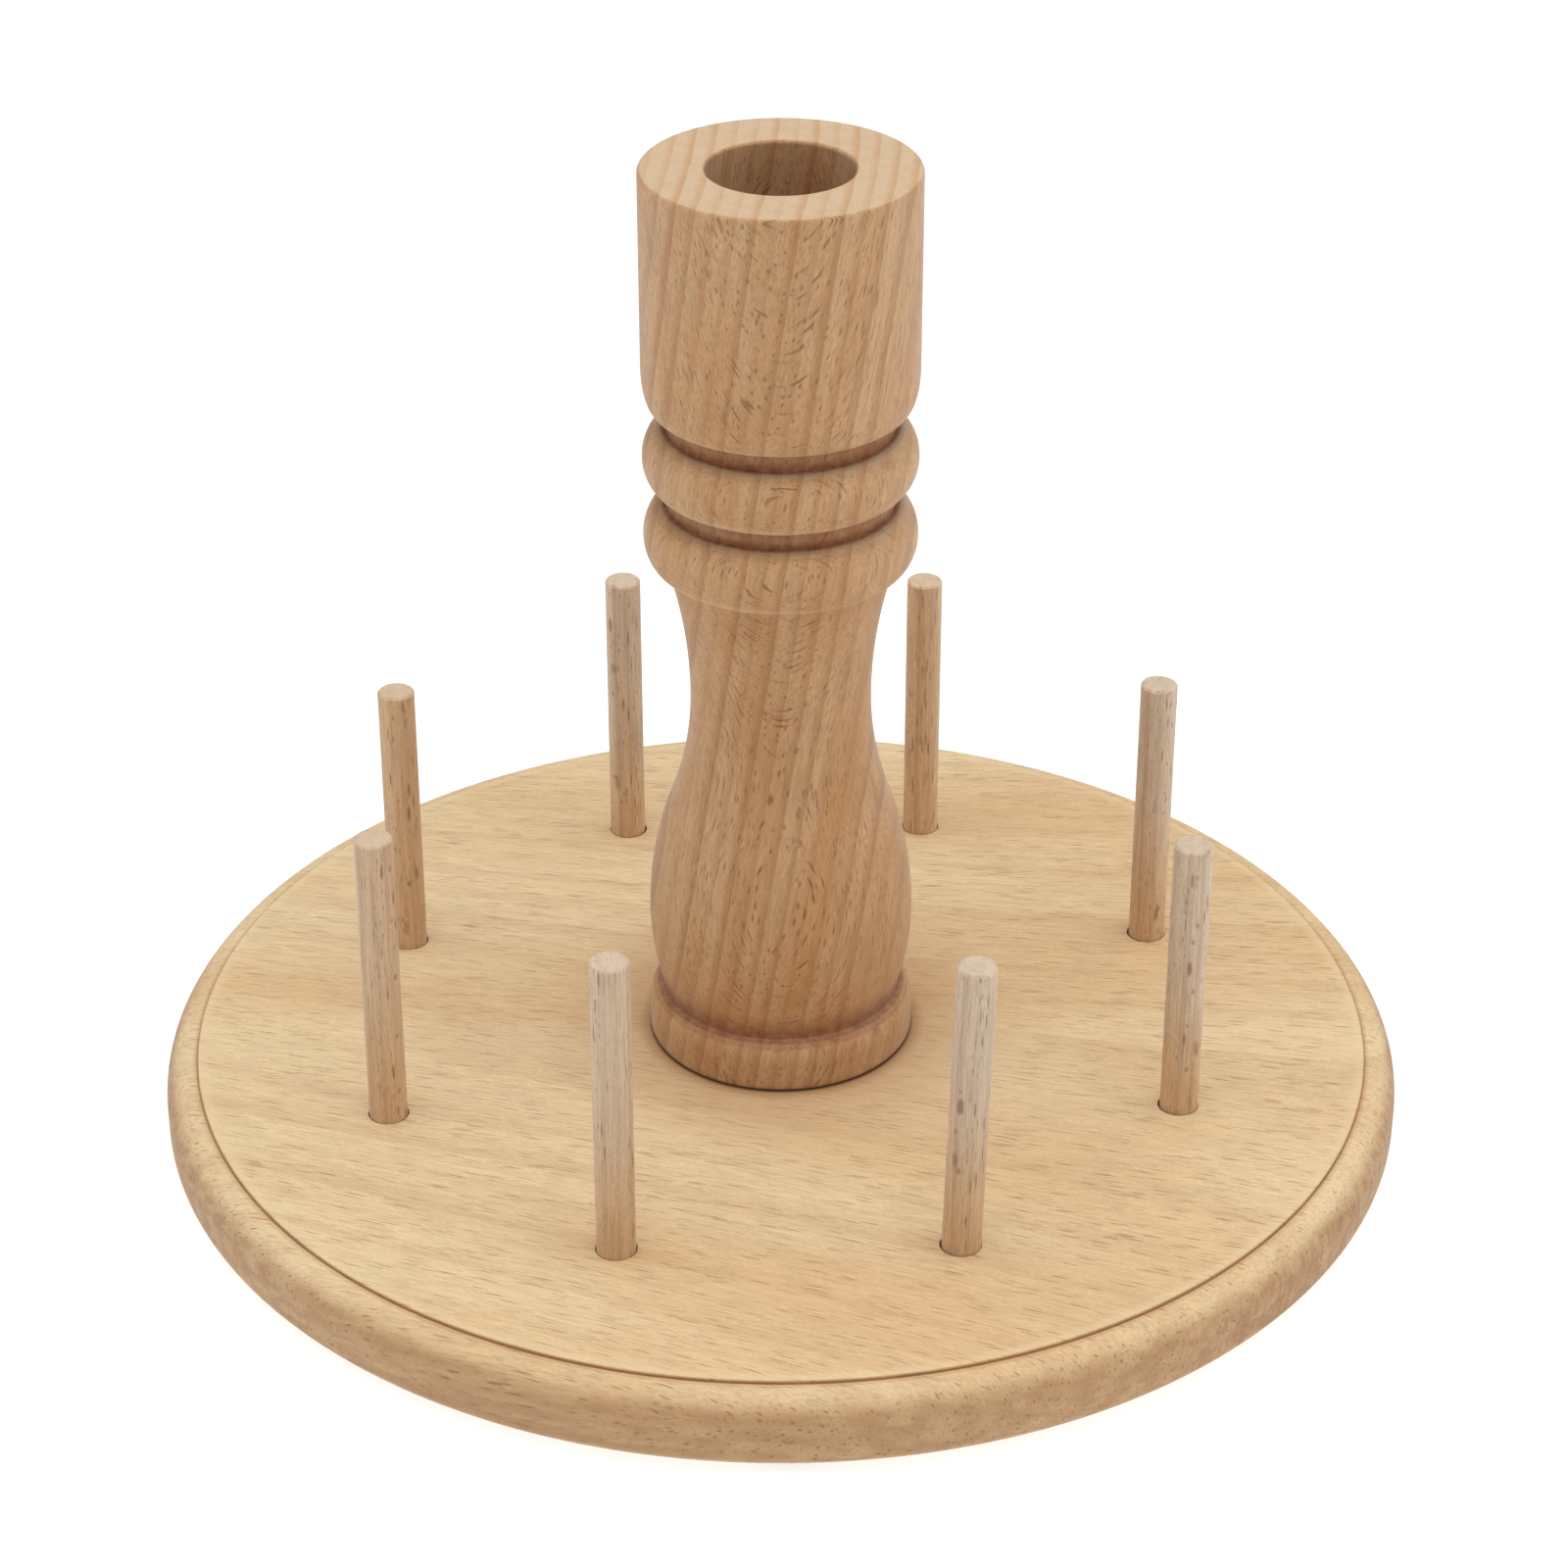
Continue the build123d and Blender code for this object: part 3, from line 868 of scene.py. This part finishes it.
class SPOOL_STAND_OT_column(bpy.types.Operator):
    """Make the turned centre column with its beads, barrel and tool bore"""

    bl_idname = "spool_stand.column"
    bl_label = "Column"

    def execute(self, context):
        sizes = context.scene.spool_stand_column
        low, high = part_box("column")
        screw_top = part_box("column_screw")[1].z
        pilot_radius = context.scene.spool_stand_screw.root_radius
        outline = Outline()
        self.foot(outline, sizes, low.z, pilot_radius, screw_top)
        self.neck(outline, sizes, low.z)
        self.beads_and_barrel(outline, sizes, low.z, high.z)
        self.bore(outline, sizes, high.z)
        bm = bmesh.new()
        turn(bm, outline, sizes.segments)
        piece = finish_mesh(bm, "turned_column", column_beech(sizes))
        stand_for(piece, "column", "stand")
        return {"FINISHED"}

    def foot(self, outline, sizes, bottom, pilot_radius, screw_top):
        """From the pilot hole's end down, out along the underside and up round the foot ring."""
        radius = sizes.radius + sizes.foot_overhang
        edge = FOOT_EASE
        pilot_top = screw_top + PILOT_SPARE
        outline.to((0, pilot_top), (pilot_radius, pilot_top), (pilot_radius, bottom))
        # Painted contact shadow on the foot's lower edge.
        outline.to((radius - edge - 0.2 * MM, bottom), (radius - edge, bottom), groove=0.8)
        outline.ellipse((radius - edge, bottom + edge), edge, edge, -90, 90, 6)
        foot_top = bottom + sizes.foot_height
        side_top = foot_top - FOOT_SLOPE
        outline.to((radius, bottom + 2.2 * MM), (radius, side_top))
        groove_radius = radius - sizes.foot_groove
        # Painted shade darkens the ring's top slope into the groove above it.
        slope = ((40, 6, 0.0), (20, 4, 0.35), (26, 4, 0.75))
        centre = (groove_radius, side_top)
        outline.shaded_ellipse(centre, sizes.foot_groove, FOOT_SLOPE, 0, slope)
        outline.to((groove_radius + 0.05 * MM, foot_top), (groove_radius, foot_top + 0.05 * MM), groove=0.8)

    def neck(self, outline, sizes, bottom):
        """Out over the bulb, in to the waist and out again to the lower bead."""
        groove_radius = sizes.radius + sizes.foot_overhang - sizes.foot_groove
        bulb_bottom = bottom + sizes.foot_height + FOOT_GROOVE_HEIGHT
        # Painted shade in the foot groove, fading up the bulb's lower part.
        outline.to((groove_radius, bulb_bottom), groove=0.8)
        widest = (sizes.radius, bulb_bottom + sizes.bulb_height)
        waist = (sizes.radius - sizes.waist_depth, widest[1] + sizes.neck_height)
        flare_end = (sizes.radius - sizes.bead_groove, waist[1] + sizes.flare_height)
        radius_sum = (sizes.waist_depth**2 + sizes.neck_height**2) / (2 * sizes.waist_depth)
        bend = math.asin(sizes.neck_height / radius_sum)
        bulb_radius = BULB_ARC_SHARE * radius_sum
        meeting = (
            sizes.radius - bulb_radius * (1 - math.cos(bend)),
            widest[1] + bulb_radius * math.sin(bend),
        )
        outline.arc(widest, (groove_radius, bulb_bottom), 16, from_upright=False, fade=0.75)
        outline.arc(widest, meeting, 14, from_upright=True)
        outline.arc(waist, meeting, 14, from_upright=False)
        outline.arc(waist, flare_end, 16, from_upright=True)

    def beads_and_barrel(self, outline, sizes, bottom, top):
        """Two beads, the grooves beside them, and the barrel's side."""
        groove_radius = sizes.radius - sizes.bead_groove
        height = bottom + sizes.foot_height + FOOT_GROOVE_HEIGHT + sizes.bulb_height
        height += sizes.neck_height + sizes.flare_height
        # Painted shade under each bead, at its top and in the gaps between.
        round_bead = ((24, 4, 0.6), (8, 2, 0.3), (112, 18, 0.0), (14, 3, 0.12), (10, 3, 0.35), (10, 3, 0.8))
        for bead, gap in ((sizes.lower_bead, sizes.bead_gap), (sizes.upper_bead, sizes.barrel_gap)):
            middle = (groove_radius, height + bead / 2)
            outline.to((groove_radius + 0.02 * MM, height), groove=0.7)
            outline.shaded_ellipse(middle, sizes.bead_groove, bead / 2, -90, round_bead)
            height += bead
            outline.to((groove_radius, height), (groove_radius, height + gap * 0.2), groove=1.0)
            outline.to((groove_radius, height + gap * 0.5), groove=0.55)
            outline.to((groove_radius, height + gap), groove=0.6)
            height += gap
        side = sizes.radius
        ledge = side - BARREL_INSET
        outline.to((ledge - 0.2 * MM, height), (ledge, height), groove=0.7)
        centre = (ledge, height + BARREL_EASE)
        # Painted shade under the barrel's lower end.
        lower_end = ((12, 3, 0.55), (12, 2, 0.12), (66, 12, 0.0))
        outline.shaded_ellipse(centre, BARREL_INSET, BARREL_EASE, -90, lower_end)
        rounding = sizes.top_rounding
        outline.to((side, height + 9 * MM), (side, top - rounding - 1.5 * MM), (side, top - rounding))
        outline.ellipse((side - rounding, top - rounding), rounding, rounding, 0, 90, 6)

    def bore(self, outline, sizes, top):
        """Across the end grain, round the bore's mouth, and down to the drill's mark."""
        mouth = sizes.bore_radius + sizes.bore_rounding
        edge = top - sizes.bore_rounding
        floor = top - sizes.bore_depth
        outline.to((sizes.radius - sizes.top_rounding - 0.3 * MM, top))
        outline.to((mouth + 0.3 * MM, top), (mouth, top))
        outline.ellipse((mouth, edge), sizes.bore_rounding, sizes.bore_rounding, 90, 90, 6)
        # Painted shade down the bore, darker at the drill's point.
        outline.to((sizes.bore_radius, edge - 0.1 * MM), groove=0.12)
        outline.to((sizes.bore_radius, edge - 3 * MM), (sizes.bore_radius, floor), groove=0.12)
        point_radius, point_depth = DRILL_POINT
        outline.to((point_radius, floor), (0, floor - point_depth), groove=0.6)


class SPOOL_STAND_OT_pegs(bpy.types.Operator):
    """Make the eight loose pegs, each cut from dowel with its own grain and sawn ends"""

    bl_idname = "spool_stand.pegs"
    bl_label = "Pegs"

    def execute(self, context):
        sizes = context.scene.spool_stand_pegs
        axes = {joint["child"]: Vector(joint["axis"]).normalized() for joint in frame["joints"]}
        for number in range(1, PEG_COUNT + 1):
            body = f"loose_peg_{number}"
            self.peg(sizes, number, body, axes[body])
        return {"FINISHED"}

    def peg(self, sizes, number, body, axis):
        """One dowel, along its own joint's axis."""
        low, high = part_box(f"peg_{number}")
        lean = axis.angle(UP)
        end_radius = sizes.radius - sizes.chamfer
        peg_length = (high.z - low.z - 2 * end_radius * math.sin(lean)) / math.cos(lean)
        centre = (low + high) / 2
        bm = bmesh.new()
        turn(bm, self.outline(sizes, peg_length), sizes.segments)
        self.roughen_ends(bm, sizes, number, peg_length)
        spin = Matrix.Rotation(math.radians(73 * number), 4, "Z")
        place = Matrix.Translation(centre) @ UP.rotation_difference(axis).to_matrix().to_4x4() @ spin
        bmesh.ops.transform(bm, matrix=place, verts=bm.verts)
        piece = finish_mesh(bm, f"dowel_peg_{number}", peg_beech(sizes, number, centre, axis))
        stand_for(piece, f"peg_{number}", body)

    def outline(self, sizes, peg_length):
        """Half of the dowel's section, with extra rings near its ends for the saw's marks."""
        half = peg_length / 2
        radius = sizes.radius
        outline = Outline().to((0, -half), (radius - sizes.chamfer, -half))
        outline.to((radius, -half + sizes.chamfer), (radius, -half + 4 * MM), (radius, 0))
        outline.to((radius, half - 4 * MM), (radius, half - 1.2 * MM), (radius, half - sizes.chamfer))
        outline.to((radius - sizes.chamfer * 0.6, half - sizes.chamfer * 0.25))
        outline.to((radius - sizes.chamfer, half), (radius * 0.72, half), (radius * 0.4, half), (0, half))
        return outline

    def roughen_ends(self, bm, sizes, number, peg_length):
        """Lowers the top end unevenly, as a saw leaves it, and breaks its edge here and there."""
        half = peg_length / 2
        edge = half - 1.25 * sizes.chamfer
        for vert in bm.verts:
            if vert.co.z < edge:
                continue
            spot = Vector((vert.co.x * 420, vert.co.y * 420, number * 7.3))
            rough = 0.5 + 0.5 * noise.noise(spot)
            chip = max(0.0, noise.noise(spot * 0.8 + Vector((3.1, 1.7, 9.2))) - 0.1)
            at_rim = (vert.co.xy.length / sizes.radius) ** 6
            vert.co.z -= sizes.saw_wander * rough + sizes.chamfer * 0.9 * chip * at_rim


class SPOOL_STAND_OT_screw(bpy.types.Operator):
    """Make the countersunk wood screw that holds the column to the disc"""

    bl_idname = "spool_stand.screw"
    bl_label = "Column Screw"

    def execute(self, context):
        sizes = context.scene.spool_stand_screw
        low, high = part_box("column_screw")
        bm = bmesh.new()
        turn(bm, self.body(sizes, low.z, high.x, high.z), 64)
        self.cut_recess(bm, sizes, low.z, high.x)
        self.thread(bm, sizes, low.z, high.z)
        piece = finish_mesh(bm, "wood_screw", zinc_plate(sizes))
        stand_for(piece, "column_screw", "stand")
        return {"FINISHED"}

    def body(self, sizes, bottom, head_radius, tip):
        """From the head's underside edge up the cone and the shank to the tip."""
        cone_top = bottom + sizes.rim_height + head_radius - sizes.radius
        thread_start = cone_top + sizes.plain_shank
        outline = Outline().to((head_radius - 0.15 * MM, bottom), (head_radius, bottom + 0.1 * MM))
        outline.to((head_radius, bottom + sizes.rim_height), (sizes.radius, cone_top))
        outline.to((sizes.radius, thread_start), (sizes.root_radius, thread_start + 0.8 * MM))
        outline.to((sizes.root_radius, tip - sizes.tip_height), (0, tip))
        return outline

    def cut_recess(self, bm, sizes, bottom, head_radius):
        """Face of the head round a cross, and the tapered cross sunk into it."""
        rim = loop_at(bm, head_radius - 0.15 * MM, bottom)
        arm = sizes.recess_length / 2
        half = sizes.recess_width / 2
        corners = []
        for quarter in range(4):
            turned = Matrix.Rotation(quarter * math.pi / 2, 3, "Z")
            for x, y in ((half, half), (arm, half), (arm, -half)):
                corners.append(turned @ Vector((x, y, 0)))
        corners.sort(key=lambda corner: math.atan2(corner.y, corner.x))
        verts = [bm.verts.new((corner.x, corner.y, bottom)) for corner in corners]
        cross = [bm.edges.new((verts[i - 1], verts[i])) for i in range(len(verts))]
        fill(bm, rim + cross, -UP)
        ring, upper = extrude_loop(bm, cross)
        taper = 0.7
        for vert in upper:
            vert.co = (vert.co.x * taper, vert.co.y * taper, bottom + sizes.recess_depth)
        fill(bm, ring, -UP)

    def thread(self, bm, sizes, bottom, tip):
        """A ridge wound round the core, closed at both ends."""
        start = bottom + sizes.rim_height + sizes.plain_shank + 4.0 * MM
        turns = int((tip - sizes.tip_height - start) / sizes.pitch)
        half = sizes.pitch * 0.3
        inner = sizes.root_radius - 0.1 * MM
        points = ((inner, start - half), (sizes.radius, start), (inner, start + half))
        verts = [bm.verts.new((x, 0, z)) for x, z in points]
        face = bm.faces.new(verts)
        steps_per_turn = 32
        bmesh.ops.spin(
            bm,
            geom=[face] + list(face.edges) + verts,
            cent=(0, 0, 0),
            axis=(0, 0, 1),
            dvec=(0, 0, sizes.pitch / steps_per_turn),
            angle=2 * math.pi * turns,
            steps=steps_per_turn * turns,
            use_merge=False,
        )


class SPOOL_STAND_OT_foot_pads(bpy.types.Operator):
    """Make the four stick-on foam pads under the disc"""

    bl_idname = "spool_stand.foot_pads"
    bl_label = "Foot Pads"

    def execute(self, context):
        sizes = context.scene.spool_stand_pads
        foam = foam_rubber(sizes)
        for side in PAD_SIDES:
            low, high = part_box(f"foot_pad_{side}")
            bm = bmesh.new()
            turn(bm, self.outline(sizes, (high.x - low.x) / 2, high.z - low.z), 72)
            centre = (low + high) / 2
            bmesh.ops.translate(bm, vec=(centre.x, centre.y, low.z), verts=bm.verts)
            piece = finish_mesh(bm, f"foam_pad_{side}", foam)
            stand_for(piece, f"foot_pad_{side}", "stand")
        return {"FINISHED"}

    def outline(self, sizes, radius, thickness):
        """Flat underside, eased lower edge, and a side that pulls in a little at half height."""
        ease = sizes.edge_rounding
        outline = Outline().to((0, 0), (radius - ease - 0.2 * MM, 0), (radius - ease, 0))
        outline.ellipse((radius - ease, ease), ease, ease, -90, 90, 5)
        outline.ellipse((radius, (ease + thickness) / 2), -sizes.crown, (thickness - ease) / 2, -90, 180, 8)
        outline.to((radius - 0.3 * MM, thickness), (0, thickness))
        return outline


# Stage --------------------------------------------------------------------------------


class SPOOL_STAND_OT_stage(bpy.types.Operator):
    """Set the floor, the soft studio lights and the camera"""

    bl_idname = "spool_stand.stage"
    bl_label = "Stage"

    def execute(self, context):
        sizes = context.scene.spool_stand_stage
        scene = context.scene
        scene.view_settings.view_transform = "Standard"
        self.floor(sizes)
        self.world(scene)
        self.softbox("light_overhead", (0.0, -0.1, 1.5), (0, 0, 0.03), 1.8, 21.5)
        self.softbox("light_left", (-1.3, -0.15, 0.6), (0, 0, 0.08), 1.0, 2.4)
        self.softbox("light_right", (1.3, -0.15, 0.6), (0, 0, 0.08), 1.0, 4.4)
        scene.camera = self.camera(sizes)
        return {"FINISHED"}

    def floor(self, sizes):
        """A wide plain floor, lit a little from within so that it stays pale."""
        bm = bmesh.new()
        clear_of_pads = -0.05 * MM
        under = Matrix.Translation((0, 0, clear_of_pads))
        bmesh.ops.create_grid(bm, x_segments=8, y_segments=8, size=4.0, matrix=under)
        material, tree, shader = new_material("studio_floor")
        grain = add_node(tree, "ShaderNodeTexNoise", Scale=90.0, Detail=3.0)
        faint = remap(tree, grain.outputs["Fac"], 0.3, 0.7, 0.0, 0.02)
        surface = mix_colour(tree, faint, sizes.floor, (0.4, 0.4, 0.4, 1))
        tree.links.new(surface, shader.inputs["Base Color"])
        shader.inputs["Roughness"].default_value = 0.9
        shader.inputs["Specular IOR Level"].default_value = 0.0
        shader.inputs["Emission Color"].default_value = (1, 1, 1, 1)
        shader.inputs["Emission Strength"].default_value = 0.8
        finish_mesh(bm, "studio_floor", material)

    def world(self, scene):
        """Even white surroundings."""
        world = bpy.data.worlds.new("studio_world")
        world.use_nodes = True
        background = world.node_tree.nodes["Background"]
        background.inputs["Color"].default_value = (1.0, 1.0, 1.0, 1.0)
        background.inputs["Strength"].default_value = 0.30
        scene.world = world

    def softbox(self, name, place, target, size, power):
        """A square area light that faces its target."""
        data = bpy.data.lights.new(name, "AREA")
        data.shape = "SQUARE"
        data.size = size
        data.energy = power
        light = bpy.data.objects.new(name, data)
        light.location = place
        light.rotation_euler = (Vector(target) - Vector(place)).to_track_quat("-Z", "Y").to_euler()
        bpy.context.scene.collection.objects.link(light)

    def camera(self, sizes):
        """The camera, on its circle round the stand's axis."""
        data = bpy.data.cameras.new("camera")
        data.sensor_width = 36.0
        data.lens = sizes.lens
        camera = bpy.data.objects.new("camera", data)
        flat = math.cos(sizes.elevation)
        level = (flat * math.cos(sizes.azimuth), flat * math.sin(sizes.azimuth))
        away = Vector((*level, math.sin(sizes.elevation)))
        target = Vector((0.0005, 0, sizes.aim_height))
        camera.location = target + away * sizes.distance
        camera.rotation_euler = (-away).to_track_quat("-Z", "Y").to_euler()
        bpy.context.scene.collection.objects.link(camera)
        return camera


class SPOOL_STAND_PT_panel(bpy.types.Panel):
    """Sizes, colours and the buttons that make each piece"""

    bl_idname = "SPOOL_STAND_PT_panel"
    bl_label = "Spool Stand"
    bl_space_type = "VIEW_3D"
    bl_region_type = "UI"
    bl_category = "Spool Stand"

    def draw(self, context):
        for settings_name, _, operator in PARTS:
            settings = getattr(context.scene, settings_name)
            box = self.layout.box()
            for name in settings.__annotations__:
                box.prop(settings, name)
            box.operator(operator.bl_idname)


PARTS = (
    ("spool_stand_stage", SpoolStandStage, SPOOL_STAND_OT_stage),
    ("spool_stand_disc", SpoolStandDisc, SPOOL_STAND_OT_base_disc),
    ("spool_stand_column", SpoolStandColumn, SPOOL_STAND_OT_column),
    ("spool_stand_pegs", SpoolStandPegs, SPOOL_STAND_OT_pegs),
    ("spool_stand_screw", SpoolStandScrew, SPOOL_STAND_OT_screw),
    ("spool_stand_pads", SpoolStandPads, SPOOL_STAND_OT_foot_pads),
)


def register():
    for name, group, operator in PARTS:
        bpy.utils.register_class(group)
        setattr(bpy.types.Scene, name, PointerProperty(type=group))
        bpy.utils.register_class(operator)
    bpy.utils.register_class(SPOOL_STAND_PT_panel)


def unregister():
    bpy.utils.unregister_class(SPOOL_STAND_PT_panel)
    for name, group, operator in reversed(PARTS):
        bpy.utils.unregister_class(operator)
        delattr(bpy.types.Scene, name)
        bpy.utils.unregister_class(group)


def corners(box):
    """A box's two corners as plain lists."""
    return [list(map(float, corner)) for corner in box]


def main():
    register()
    bpy.ops.spool_stand.stage()
    bpy.ops.spool_stand.base_disc()
    bpy.ops.spool_stand.column()
    bpy.ops.spool_stand.pegs()
    bpy.ops.spool_stand.screw()
    bpy.ops.spool_stand.foot_pads()


if __name__ == "__main__":
    main()
